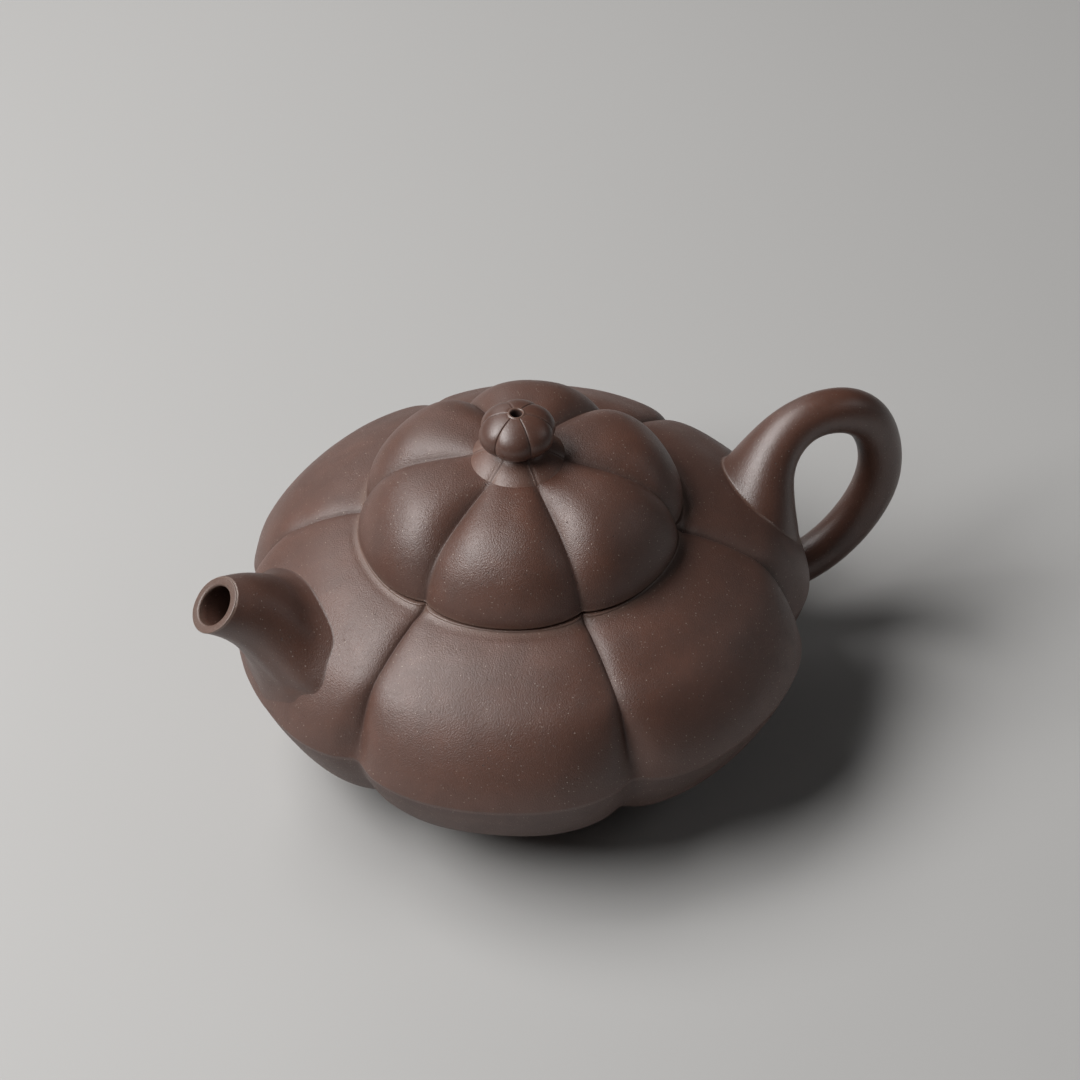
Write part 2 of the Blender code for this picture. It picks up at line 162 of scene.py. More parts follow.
def ring_places(half=34):
    """Angles round the pot, closer together near each groove, and the place across the lobe."""
    t = np.arange(-half, half) / half
    u = 1.24 * t - 0.24 * np.sign(t) * np.abs(t) ** 5
    th = np.array([(k + v / 2) * 2 * math.pi / LOBES for k in range(LOBES) for v in u])
    return th, np.tile(u, LOBES)


TH, U = ring_places()


def swell(u, power, soft):
    """0 in a groove and 1 on a crest, with the bottom of the groove rounded by soft."""
    v = 1 - np.abs(u)
    b = 1 - np.abs(u) ** power
    q = power * v
    w = np.sqrt(q * q + soft * soft) - soft
    k = smooth01(v / 0.25)
    return np.where(v < 0.25, (1 - k) * np.minimum(w, b) + k * b, b)


def lobed(groove, crest, power, soft=0.05, nick=0.0, th=None, u=None, narrow=0.0):
    """Rings (rows, count, 3) about the pot's axis; power, soft and nick may vary by row.

    nick is the depth of a narrow tooled line along the bottom of each groove;
    narrow is the share of the depth that is cut as a tight V beside that line.
    """
    th, u = (TH, U) if th is None else (th, u)
    g, c = np.asarray(groove), np.asarray(crest)
    rows = len(g)
    power = np.broadcast_to(power, rows)
    soft = np.broadcast_to(soft, rows)
    nick = np.broadcast_to(nick, rows)
    narrow = np.broadcast_to(narrow, rows)
    out = np.empty((rows, len(u), 3))
    for i in range(rows):
        lift = swell(u, power[i], soft[i])
        if narrow[i]:
            lift = (1 - narrow[i]) * lift + narrow[i] * swell(u, 15.0, 0.10)
        q = g[i] + (c[i] - g[i]) * lift[:, None]
        r = q[:, 0].copy()
        z = q[:, 1].copy()
        if nick[i]:
            across = (1 - np.abs(u)) * math.pi / LOBES * r
            j, k = max(i - 1, 0), min(i + 1, rows - 1)
            d = g[k] - g[j]
            n = np.array([-d[1], d[0]]) / max(np.linalg.norm(d), 1e-9)
            cut = nick[i] * np.exp(-(across / 0.00017) ** 2)
            lip = -0.22 * nick[i] * np.exp(-((across - 0.00048) / 0.00022) ** 2)
            r -= n[0] * (cut + lip)
            z -= n[1] * (cut + lip)
        out[i] = np.stack([r * np.cos(th) + AXIS_X, r * np.sin(th), z], -1)
    return out


def mesh_of(name, points, faces, colours=None):
    """An object from arrays, turned outside out, with sharp edges kept and attributes added."""
    p = np.asarray(points, float)
    quads = [tuple(f) for f in faces]
    mesh = bpy.data.meshes.new(name)
    mesh.from_pydata([tuple(v) for v in p], [], quads)
    mesh.calc_loop_triangles()
    t = np.empty(len(mesh.loop_triangles) * 3, np.int32)
    mesh.loop_triangles.foreach_get("vertices", t)
    t = p[t.reshape(-1, 3)]
    if np.einsum("ij,ij->i", t[:, 0], np.cross(t[:, 1], t[:, 2])).sum() < 0:
        mesh.flip_normals()
    for key, value in (colours or {}).items():
        a = mesh.attributes.new(key, "FLOAT", "POINT")
        a.data.foreach_set("value", np.asarray(value, np.float32).ravel())
    mesh.polygons.foreach_set("use_smooth", [True] * len(mesh.polygons))
    mesh.update()
    mesh.set_sharp_from_angle(angle=math.radians(48))
    obj = bpy.data.objects.new(name, mesh)
    bpy.context.scene.collection.objects.link(obj)
    return obj


def grid_faces(rows, n, looped):
    i = np.arange(rows if looped else rows - 1)[:, None]
    k = np.arange(n)[None, :]
    a, b = i * n, ((i + 1) % rows) * n
    k2 = (k + 1) % n
    return np.stack([a + k, a + k2, b + k2, b + k], -1).reshape(-1, 4)


def skin(name, rings, looped=True, wear_and_highlight=None, painted_shade=None):
    """Closed skin over rings of equal count; open stacks are capped with a fan."""
    rings = np.asarray(rings, float)
    rows, n = rings.shape[:2]
    points = rings.reshape(-1, 3)
    faces = [tuple(f) for f in grid_faces(rows, n, looped)]
    wear_and_highlight = np.zeros((rows, n)) if wear_and_highlight is None else np.broadcast_to(wear_and_highlight, (rows, n))
    painted_shade = np.zeros((rows, n)) if painted_shade is None else np.broadcast_to(painted_shade, (rows, n))
    w, f = wear_and_highlight.ravel(), painted_shade.ravel()
    if not looped:
        points = np.vstack([points, rings[0].mean(0), rings[-1].mean(0)])
        base, last = rows * n, (rows - 1) * n
        for k in range(n):
            faces.append(((k + 1) % n, k, base))
            faces.append((last + k, last + (k + 1) % n, base + 1))
        w, f = np.append(w, [0, 0]), np.append(f, [0, 0])
    return mesh_of(name, points, faces, {"wear_and_highlight": w, "painted_shade": f})


def uneven(rings, size, height, keep=None):
    """Hand-made unevenness: each point moved along the local outward direction."""
    rings = np.array(rings, float)
    rows, n = rings.shape[:2]
    du = np.gradient(rings, axis=0)
    dv = (np.roll(rings, -1, 1) - np.roll(rings, 1, 1)) / 2
    nrm = np.cross(dv, du)
    nrm /= np.maximum(np.linalg.norm(nrm, axis=-1, keepdims=True), 1e-12)
    keep = np.ones((rows, n)) if keep is None else np.broadcast_to(keep, (rows, n))
    amount = np.empty((rows, n))
    for i in range(rows):
        for k in range(n):
            amount[i, k] = noise.noise(Vector(rings[i, k] / size)) if keep[i, k] > 0 else 0
    return rings + nrm * (amount * keep * height)[..., None]


def circle(radius, z, th=None):
    th = TH if th is None else th
    return np.stack([radius * np.cos(th) + AXIS_X, radius * np.sin(th), z + 0 * th], -1)


def piece(obj, body, node, material):
    obj.data.materials.clear()
    obj.data.materials.append(material)
    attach(obj, body)
    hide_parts(node)
    return obj


def carve(obj, tool, operation):
    """Boolean applied at once; the marks for wear with painted highlights and for painted shade are carried over from
    the nearest old point.
    """
    old = obj.data
    tree = kdtree.KDTree(len(old.vertices))
    for i, v in enumerate(old.vertices):
        tree.insert(v.co, i)
    tree.balance()
    mod = obj.modifiers.new("carve", "BOOLEAN")
    mod.operation, mod.object, mod.solver = operation, tool, "EXACT"
    bpy.context.view_layer.update()
    dg = bpy.context.evaluated_depsgraph_get()
    mesh = bpy.data.meshes.new_from_object(obj.evaluated_get(dg))
    obj.modifiers.clear()
    nearest = [tree.find(v.co)[1] for v in mesh.vertices]
    for key in ("wear_and_highlight", "painted_shade"):
        source = np.zeros(len(old.vertices), np.float32)
        old.attributes[key].data.foreach_get("value", source)
        if key in mesh.attributes:
            mesh.attributes.remove(mesh.attributes[key])
        a = mesh.attributes.new(key, "FLOAT", "POINT")
        a.data.foreach_set("value", source[nearest])
    mesh.polygons.foreach_set("use_smooth", [True] * len(mesh.polygons))
    mesh.update()
    mesh.set_sharp_from_angle(angle=math.radians(48))
    obj.data = mesh
    return obj


# ------------------------------------------------------------------- materials
def tree_for(name):
    mat = bpy.data.materials.new(name)
    mat.use_nodes = True
    nt = mat.node_tree
    nt.nodes.clear()
    return mat, nt


class Nodes:
    """Short calls for building a shader tree."""

    def __init__(self, nt):
        self.nt = nt

    def make(self, kind, values=None, **settings):
        node = self.nt.nodes.new(kind)
        for key, value in settings.items():
            setattr(node, key, value)
        for key, value in (values or {}).items():
            self.put(node.inputs[key], value)
        return node

    def put(self, socket, value):
        if isinstance(value, bpy.types.NodeSocket):
            self.nt.links.new(value, socket)
        else:
            socket.default_value = value

    def noise(self, at, scale, detail=2.0, rough=0.5, distort=0.0):
        return self.make("ShaderNodeTexNoise", {"Vector": at, "Scale": scale, "Detail": detail,
                                                "Roughness": rough, "Distortion": distort}).outputs["Fac"]

    def cells(self, at, scale, feature="F1"):
        node = self.make("ShaderNodeTexVoronoi", {"Vector": at, "Scale": scale}, feature=feature)
        return node.outputs["Distance"], node.outputs["Color"]

    def math(self, op, a, b=0.0, clamp=False):
        node = self.make("ShaderNodeMath", operation=op, use_clamp=clamp)
        self.put(node.inputs[0], a)
        self.put(node.inputs[1], b)
        return node.outputs[0]

    def remap(self, value, a, b, c=0.0, d=1.0, smooth=False):
        node = self.make("ShaderNodeMapRange", {"Value": value, "From Min": a, "From Max": b, "To Min": c, "To Max": d})
        node.interpolation_type = "SMOOTHSTEP" if smooth else "LINEAR"
        return node.outputs["Result"]

    def mix(self, fac, a, b, blend="MIX"):
        node = self.make("ShaderNodeMix", data_type="RGBA", blend_type=blend)
        self.put(node.inputs["Factor"], fac)
        self.put(node.inputs["A"], a if isinstance(a, bpy.types.NodeSocket) else (*a, 1))
        self.put(node.inputs["B"], b if isinstance(b, bpy.types.NodeSocket) else (*b, 1))
        return node.outputs["Result"]


BROWN = (0.106, 0.0480, 0.0335)
DEEP = (0.073, 0.0320, 0.0220)
WARM = (0.136, 0.0570, 0.0375)
GREY = (0.126, 0.0790, 0.0640)


def zisha(name, shade=1.0, rough=0.46, grain=1.0, dust_and_light=0.0, polish=0.0):
    """Stoneware clay: mottled brown, sandy grain, pale sand specks, dark pits, worn edges, painted highlights and
    painted shade in grooves; shade scales the colour, darker as painted shade on the bowl and spout, lighter as painted
    light on the neck.
    """
    mat, nt = tree_for(name)
    n = Nodes(nt)
    at = n.make("ShaderNodeTexCoord").outputs["Object"]
    wear_and_highlight = n.make("ShaderNodeAttribute", attribute_name="wear_and_highlight").outputs["Fac"]
    painted_shade = n.make("ShaderNodeAttribute", attribute_name="painted_shade").outputs["Fac"]

    broad = n.noise(at, 38.0, 3.0, 0.55)          # clouding over some centimetres
    patch = n.noise(at, 190.0, 4.0, 0.6, 0.4)     # mottling over some millimetres
    peel = n.noise(at, 1400.0, 2.0, 0.5)          # faint orange peel
    fine = n.noise(at, 4300.0, 3.0, 0.65)         # sand in the clay
    grit = n.noise(at, 7000.0, 2.0, 0.6)

    def grains(scale, out_r, in_r, rare, channel):
        """Round grains in some of the cells: 0 to 1, each with its own strength."""
        away, colour = n.cells(at, scale)
        pick = n.make("ShaderNodeSeparateColor", {"Color": colour}).outputs[channel]
        return n.math("MULTIPLY", n.remap(away, out_r, in_r, 0.0, 1.0, True), n.remap(pick, rare, 1.0, 0.0, 1.0))

    speck = grains(1150.0, 0.155, 0.085, 0.10, 0)  # pale sand
    dot = grains(1900.0, 0.200, 0.090, 0.30, 1)    # finer pale dots
    pit = grains(680.0, 0.110, 0.055, 0.40, 2)     # pinholes

    pebble = n.cells(at, 3500.0)[0]               # close-set grains of the body

    s = shade
    tone = n.mix(n.remap(broad, 0.32, 0.68, 0.0, 1.0, True), [v * s for v in BROWN], [v * s for v in WARM])
    tone = n.mix(n.remap(patch, 0.35, 0.75, 0.0, 0.55), tone, [v * s for v in DEEP])
    tone = n.mix(n.remap(fine, 0.48, 0.78, 0.0, 0.50), tone, [v * s for v in GREY])
    tone = n.mix(n.remap(grit, 0.52, 0.28, 0.0, 0.30), tone, [v * s * 0.55 for v in DEEP])
    # Painted shade: the groove mark darkens grooves, the spout's root crease and the vent bore, where shade falls.
    tone = n.mix(n.math("MULTIPLY", painted_shade, 0.40), tone, [v * s * 0.55 for v in DEEP])
    # The edge mark lightens rims as real wear, and paints highlights as pale lines beside the grooves and along the
    # handle's upper root.
    worn_and_highlit = n.math("MULTIPLY", wear_and_highlight, n.remap(fine, 0.25, 0.65, 0.35, 1.0))
    tone = n.mix(n.math("MULTIPLY", worn_and_highlit, 0.55), tone, (0.27, 0.190, 0.150))
    tone = n.mix(n.math("MULTIPLY", speck, 0.78 * min(grain, 1.0)), tone, (0.50, 0.41, 0.35))
    tone = n.mix(n.math("MULTIPLY", dot, 0.50), tone, (0.27, 0.195, 0.160))
    tone = n.mix(n.math("MULTIPLY", pit, 0.70), tone, (0.016, 0.010, 0.008))
    # Dust pales the dry pieces and the foot; on the neck the same paling is painted light.
    if dust_and_light:
        tone = n.mix(n.remap(patch, 0.30, 0.70, 0.2 * dust_and_light, dust_and_light), tone, (0.20, 0.130, 0.100))

    uneven_sheen = n.math("MULTIPLY_ADD", n.math("SUBTRACT", patch, 0.5), 0.14)
    uneven_sheen.node.inputs[2].default_value = rough
    r = n.math("ADD", uneven_sheen, n.math("MULTIPLY", n.math("SUBTRACT", fine, 0.5), 0.22))
    r = n.math("ADD", r, n.math("MULTIPLY", painted_shade, 0.12))
    r = n.math("ADD", r, n.math("MULTIPLY", pit, 0.2))
    r = n.math("SUBTRACT", r, n.math("MULTIPLY", worn_and_highlit, 0.04 + polish))
    r = n.math("MAXIMUM", r, 0.20, clamp=True)

    height = n.math("MULTIPLY", n.math("SUBTRACT", fine, 0.5), 0.000054 * grain)
    height = n.math("ADD", height, n.math("MULTIPLY", n.math("SUBTRACT", grit, 0.5), 0.000022 * grain))
    height = n.math("ADD", height, n.math("MULTIPLY", n.math("SUBTRACT", peel, 0.5), 0.000014 * grain))
    height = n.math("ADD", height, n.math("MULTIPLY", n.math("SUBTRACT", patch, 0.5), 0.00002 * grain))
    height = n.math("SUBTRACT", height, n.math("MULTIPLY", pebble, 0.000038 * grain))
    height = n.math("ADD", height, n.math("MULTIPLY", speck, 0.00002))
    height = n.math("ADD", height, n.math("MULTIPLY", dot, 0.000012))
    height = n.math("SUBTRACT", height, n.math("MULTIPLY", pit, 0.00008))
    bump = n.make("ShaderNodeBump", {"Height": height, "Strength": 1.0, "Distance": 1.0})

    bsdf = n.make("ShaderNodeBsdfPrincipled", {"Base Color": tone, "Roughness": r, "Normal": bump.outputs["Normal"],
                                               "IOR": 1.5, "Specular IOR Level": 0.90})
    out = n.make("ShaderNodeOutputMaterial")
    nt.links.new(bsdf.outputs[0], out.inputs["Surface"])
    return mat


M_BODY = zisha("zisha_body", rough=0.45)
# Painted shade: the bowl below the edge is a darker copy of the clay, for the shade beneath the pot.
M_LOWER_PAINTED_SHADE = zisha("zisha_bowl_painted_shade", shade=0.76, rough=0.54)
M_LID = zisha("zisha_lid", rough=0.42)
M_KNOB = zisha("zisha_knob", rough=0.38, grain=0.35, polish=0.05)
# Painted light: the neck is a lighter, paler copy of the clay, for the light on its upturned face.
M_NECK_PAINTED_LIGHT = zisha("zisha_neck_painted_light", shade=1.20, rough=0.46, grain=0.7, dust_and_light=0.30)
# Painted shade: the spout is a darker copy of the clay, for the shade on its flanks and underside.
M_SPOUT_PAINTED_SHADE = zisha("zisha_spout_painted_shade", shade=0.78, rough=0.44, grain=0.7)
M_HANDLE = zisha("zisha_handle", rough=0.36, grain=0.6, polish=0.04)
M_DRY = zisha("zisha_dry", shade=0.95, rough=0.60, grain=1.2, dust_and_light=0.35)
M_FOOT = zisha("zisha_foot", shade=0.95, rough=0.64, grain=1.3, dust_and_light=0.25)


# -------------------------------------------------------------------- the body
def shares(count, start=0.0, end=0.0):
    """Shares from 0 to 1, crowded towards the start or the end."""
    t = np.linspace(0, 1, count)
    if start:
        t = (1 - start) * t + start * t ** 2.4
    if end:
        t = 1 - ((1 - end) * (1 - t) + end * (1 - t) ** 2.4)
    return t


def outer_body():
    """The whole outside, from the mouth to the floor, as rings with their row data."""
    t1 = shares(84, start=0.55, end=0.75)
    t2 = shares(50, start=0.80)
    g1, c1 = up(spline(SHOULDER_GROOVE, t1)), up(spline(SHOULDER_CREST, t1))
    ease = 0.62 * smooth01(t1 / 0.11) * (1 - smooth01((t1 - 0.42) / 0.50))
    g1 = g1 + (c1 - g1) * ease[:, None]
    g2, c2 = up(spline(BOWL_GROOVE, t2)), up(spline(BOWL_CREST, t2))

    def joined(a, b):
        arc = round_corner(a[-3], a[-1], b[2], 0.00016, 7)
        lead = a[np.linalg.norm(a - a[-1], axis=1) > 0.00026]
        tail = b[np.linalg.norm(b - b[0], axis=1) > 0.00026]
        return lead, arc, tail

    lg, ag, tg = joined(g1, g2)
    lc, ac, tc = joined(c1, c2)
    k1, k2 = min(len(lg), len(lc)), min(len(tg), len(tc))
    lead_g, lead_c = lg[:k1], lc[:k1]
    tail_g, tail_c = tg[-k2:], tc[-k2:]
    g = np.vstack([lead_g, ag, tail_g])
    c = np.vstack([lead_c, ac, tail_c])
    return g, c, k1


g_all, c_all, arris = outer_body()
rows = len(g_all)
down = np.arange(rows) / (rows - 1)
shoulder = smooth01(np.arange(rows) / arris)
soft_rows = 0.022 + 0.17 * smooth01((np.arange(rows) / arris - 0.30) / 0.6)
nick_rows = 0.00009 * (1 - smooth01((np.arange(rows) / arris - 0.30) / 0.40))
split = arris + 7 + 3          # first bowl ring of the lower piece
narrow_rows = 0.55 * (1 - smooth01((np.arange(rows) / arris - 0.50) / 0.45))
rings_all = lobed(g_all, c_all, 3.9, soft_rows, nick_rows, narrow=narrow_rows)
calm = np.ones(rows)
calm[:4] = 0.15
rings_all = uneven(rings_all, 0.016, 0.00022, calm[:, None])
rings_all = uneven(rings_all, 0.0052, 0.00005, calm[:, None])
wear_and_highlight_all = np.zeros((rows, len(TH)))
edge_row = np.exp(-((np.arange(rows) - (arris + 3)) / 3.2) ** 2)
wear_and_highlight_all += 0.10 * edge_row[:, None]
wear_and_highlight_all += 0.75 * np.exp(-(np.arange(rows) / 3.0) ** 2)[:, None]
across = (1 - np.abs(U))[None, :] * math.pi / LOBES * (g_all[:, :1])
# Painted shade along the grooves, fading down the shoulder.
painted_shade_all = np.exp(-(across / 0.0009) ** 2) * (1 - 0.35 * shoulder[:, None])
# Painted highlight: a pale line along the lip beside each groove.
wear_and_highlight_all += 0.20 * np.exp(-((across - 0.00060) / 0.00022) ** 2) * (nick_rows / 0.00009)[:, None]

# Top ledge and inside of the upper shell.
t_in = np.linspace(0, 1, 22)
gi = pushed(up(spline(SHOULDER_GROOVE, t_in)), -WALL)
ci = pushed(up(spline(SHOULDER_CREST, t_in)), -WALL)
gi[0, 1] = ci[0, 1] = SEAT_Z
top_row = rings_all[:1].copy()


def ledge(outer_row, inner_row, radius=0.0003):
    """Rounded outer corner between the mouth's flat top and the neck."""
    d = inner_row - outer_row
    d[:, 2] = 0
    d /= np.linalg.norm(d, axis=1)[:, None]
    rows_ = []
    for a in np.linspace(0, math.pi / 2, 6):
        rows_.append(outer_row + d * radius * (1 - math.cos(a)) + np.array([0, 0, -radius * (1 - math.sin(a))]))
    return rows_


inner_rings = lobed(gi, ci, 2.4, 0.12)
upper_outer = rings_all[:split + 1]
lip = ledge(upper_outer[0] * np.array([1, 1, 0]) + np.array([0, 0, SEAT_Z]), inner_rings[0])
keep_rows = upper_outer[:, :, 2].mean(1) < SEAT_Z - 0.0004
upper_rows = np.concatenate([np.array(lip)[::-1], upper_outer[keep_rows]])
in_low = inner_rings[-1].copy()
in_low[:, 2] = upper_outer[-1, :, 2]
upper_rings = np.concatenate([upper_rows, [in_low], inner_rings[::-1][1:]])
n_lip, n_out = len(lip), int(keep_rows.sum())
n_in = len(upper_rings) - n_lip - n_out
wear_and_highlight_up = np.concatenate([np.full((n_lip, len(TH)), 0.7), wear_and_highlight_all[:split + 1][keep_rows], np.zeros((n_in, len(TH)))])
painted_shade_up = np.concatenate([np.zeros((n_lip, len(TH))), painted_shade_all[:split + 1][keep_rows], np.zeros((n_in, len(TH)))])
upper = skin("body_upper", upper_rings, True, wear_and_highlight_up, painted_shade_up)

lower_outer = rings_all[split:].copy()
lower_outer[-1] = circle(FLOOR_R, FLOOR_Z)
t_in = np.linspace(0, 1, 16)
gi = pushed(up(spline(BOWL_GROOVE, t_in)), -WALL)
ci = pushed(up(spline(BOWL_CREST, t_in)), -WALL)
low_in = lobed(gi, ci, 2.4, 0.12)
low_in[0, :, 2] = lower_outer[0, :, 2]
low_in[-1] = circle(FLOOR_R, FLOOR_Z + WALL)
low_in[-2, :, 2] = np.maximum(low_in[-2, :, 2], FLOOR_Z + WALL)
lower_rings = np.concatenate([lower_outer, low_in[::-1]])
wear_and_highlight_low = np.concatenate([wear_and_highlight_all[split:], np.zeros((len(low_in), len(TH)))])
painted_shade_low = np.concatenate([painted_shade_all[split:], np.zeros((len(low_in), len(TH)))])
lower = skin("body_lower", lower_rings, True, wear_and_highlight_low, painted_shade_low)

# The outside alone, for finding where the spout and the handle meet it.
outside_tree = BVHTree.FromPolygons([tuple(p) for p in rings_all.reshape(-1, 3)],
                                    [tuple(f) for f in grid_faces(rows, len(TH), False)])


def off_body(p):
    """(distance outside the body, nearest point, outward normal there)."""
    where, normal, _, _ = outside_tree.find_nearest(Vector(p))
    where, normal = np.array(where), np.array(normal)
    out = where - np.array([AXIS_X, 0, EDGE_Z])
    if out @ normal < 0:
        normal = -normal
    return float((p - where) @ normal), where, normal


# ------------------------------------------------------- joining onto the body
def rooted(rings, centres, fillet, rows_out=90, fillet_rows=9, sink=0.0011):
    """Rings ordered from the free end into the body, trimmed where they meet it.

    Each lengthwise line is cut at the body, and runs out onto it in a curve as
    wide as fillet (one size per line). The last rings lie inside the wall.
    """
    rings = np.asarray(rings, float)
    total, n = rings.shape[:2]
    out = np.empty((rows_out + fillet_rows + 2, n, 3))
    for k in range(n):
        line = rings[:, k]
        inside = total - 1
        low = 0
        for i in range(total):
            if off_body(line[i])[0] < 0:
                inside = i
                break
        low = max(inside - 1, 0)
        a, b = line[low], line[inside]
        for _ in range(12):
            m = (a + b) / 2
            if off_body(m)[0] < 0:
                b = m
            else:
                a = m
        corner = (a + b) / 2
        _, corner, nb = off_body(corner)
        clipped = np.vstack([line[:inside], corner])
        seg = np.linalg.norm(np.diff(clipped, axis=0), axis=1)
        s = np.concatenate([[0], np.cumsum(seg)])
        f = fillet[k]
        stop = max(s[-1] - f, s[-1] * 0.3)
        sample = np.interp(np.linspace(0, stop, rows_out), s, np.arange(len(s)))
        i0 = np.clip(sample.astype(int), 0, len(s) - 2)
        fr = (sample - i0)[:, None]
        body_line = clipped[i0] * (1 - fr) + clipped[i0 + 1] * fr
        start = body_line[-1]
        centre = centres[inside]
        along = corner - start
        along /= max(np.linalg.norm(along), 1e-9)
        ns = corner - centre
        ns -= (ns @ along) * along
        ns /= max(np.linalg.norm(ns), 1e-9)
        t = ns - (ns @ nb) * nb
        t /= max(np.linalg.norm(t), 1e-9)
        _, end, ne = off_body(corner + f * t)
        q = np.linspace(0, 1, fillet_rows + 1)[1:, None]
        curve = start * (1 - q) ** 2 + 2 * corner * q * (1 - q) + end * q ** 2
        sunk = end + 0.00022 * t - 0.00007 * ne
        deep = corner - nb * sink
        out[:rows_out, k] = body_line
        out[rows_out:rows_out + fillet_rows, k] = curve
        out[-2, k] = sunk
        out[-1, k] = deep
    return out


# ----------------------------------------------------------------------- spout


def spout_piece():
    n, count = 112, 150
    t = np.linspace(0, 1, count)
    q = spline(np.array(SPOUT) * (1, 1, 0.01, 1, 1), t)
    turn = np.linspace(0, 2 * math.pi, n, endpoint=False)
    side = np.abs((np.degrees(turn) + 180) % 360 - 180)       # 0 on top, 180 below
    rings, bores, centres = [], [], []
    for i, (x, z, tilt, tall, wide) in enumerate(q):
        tilt = math.radians(tilt * 100)
        lift = np.array([math.sin(tilt), 0, math.cos(tilt)])
        grow = smooth01(t[i] / 0.55)
        flute = 1 + 0.100 * smooth01((t[i] - 0.35) / 0.6) * np.exp(-((side - 80) / 25) ** 2) \
            + 0.050 * smooth01((t[i] - 0.50) / 0.5) * np.exp(-((side - 101) / 11) ** 2) \
            - (0.010 + 0.035 * grow) * np.exp(-((side - 114) / 13) ** 2) \
            - (0.004 + 0.060 * grow) * np.exp(-((side - 146) / 18) ** 2) \
            + np.where(np.sin(turn) < 0, 0.090, 0.020) * smooth01((t[i] - 0.10) / 0.75) * np.exp(-((side - 40) / 21) ** 2)
        c = np.array([x, 0, z])
        p = c + (tall * flute * np.cos(turn))[:, None] * lift + (wide * flute * np.sin(turn))[:, None] * np.array([0, 1, 0])
        rings.append(p * W + (AXIS_X, 0, EDGE_Z))
        bore = SPOUT_BORE[0] + (SPOUT_BORE[1] - SPOUT_BORE[0]) * t[i]
        p = c + bore * np.cos(turn)[:, None] * lift + bore * np.sin(turn)[:, None] * np.array([0, 1, 0])
        bores.append(p * W + (AXIS_X, 0, EDGE_Z))
        centres.append(c * W + (AXIS_X, 0, EDGE_Z))
    rings, bores, centres = np.array(rings), np.array(bores), np.array(centres)
    fillet = 0.0003 + 0.0056 * smooth01((side - 100) / 55)
    walled = rooted(rings, centres, fillet, rows_out=100, fillet_rows=12)
    walled = uneven(walled, 0.009, 0.00010, np.concatenate([smooth01(np.arange(100) / 12), np.full(12, 0.6), [0, 0]])[:, None])
    # Rounded lip: the first outer ring is drawn in over the flat mouth.
    ax = rings[0] - centres[0]
    ax /= np.linalg.norm(ax, axis=1)[:, None]
    tilt = math.radians(SPOUT[0][2])
    out_dir = np.array([-math.cos(tilt), 0, math.sin(tilt)])
    r_out = np.linalg.norm(rings[0] - centres[0], axis=1)[:, None]
    r_in = SPOUT_BORE[0] * W
    lip = []
    for a in np.linspace(0, 1, 7):
        ang = a * math.pi / 2
        rr = 0.00022
        lip.append(centres[0] + ax * (r_out - rr * (1 - math.cos(ang))) + out_dir * (-rr * (1 - math.sin(ang))))
    flat = [centres[0] + ax * (r_out * (1 - s) + (r_in + 0.0006) * s) for s in (0.35, 0.7)]
    inner = []
    for a in np.linspace(0, 1, 8):
        ang = a * math.pi / 2
        rr = 0.00050
        inner.append(centres[0] + ax * (r_in + rr * (1 - math.sin(ang))) + out_dir * (-rr * (1 - math.cos(ang))))
    keep = np.linalg.norm(walled[:100] - rings[0][None], axis=2).mean(1) > 0.0003
    outer = np.concatenate([walled[:100][keep], walled[100:]])
    # The bore runs to just inside the wall.
    bore_rings = []
    steps = bores[6:]
    ends = np.empty((34, n, 3))
    for k in range(n):
        line = steps[:, k]
        stop = len(line) - 1
        for i in range(len(line)):
            if off_body(line[i])[0] < -0.0012:
                stop = i
                break
        idx = np.linspace(0, max(stop, 1), 34)
        i0 = np.clip(idx.astype(int), 0, len(line) - 2)
        fr = (idx - i0)[:, None]
        ends[:, k] = line[i0] * (1 - fr) + line[i0 + 1] * fr
    loop = np.concatenate([np.array(inner)[::-1], np.array(flat)[::-1], np.array(lip)[::-1], outer, ends[::-1]])
    wear_and_highlight = np.zeros((len(loop), n))
    m = len(inner) + len(flat) + len(lip)
    wear_and_highlight[:m] = 0.55
    wear_and_highlight[m - 6:m + 1] = 1.0
    wear_and_highlight[2:7] = 0.6
    painted_shade = np.zeros((len(loop), n))
    a = m + len(outer)
    # Painted shade in the crease where the spout's root meets the body.
    painted_shade[a - 8:a - 2] = (0.45 * (1 - smooth01((side - 118) / 30)))[None, :]
    return skin("spout_tube", loop, True, wear_and_highlight, painted_shade), bores


spout, bores = spout_piece()


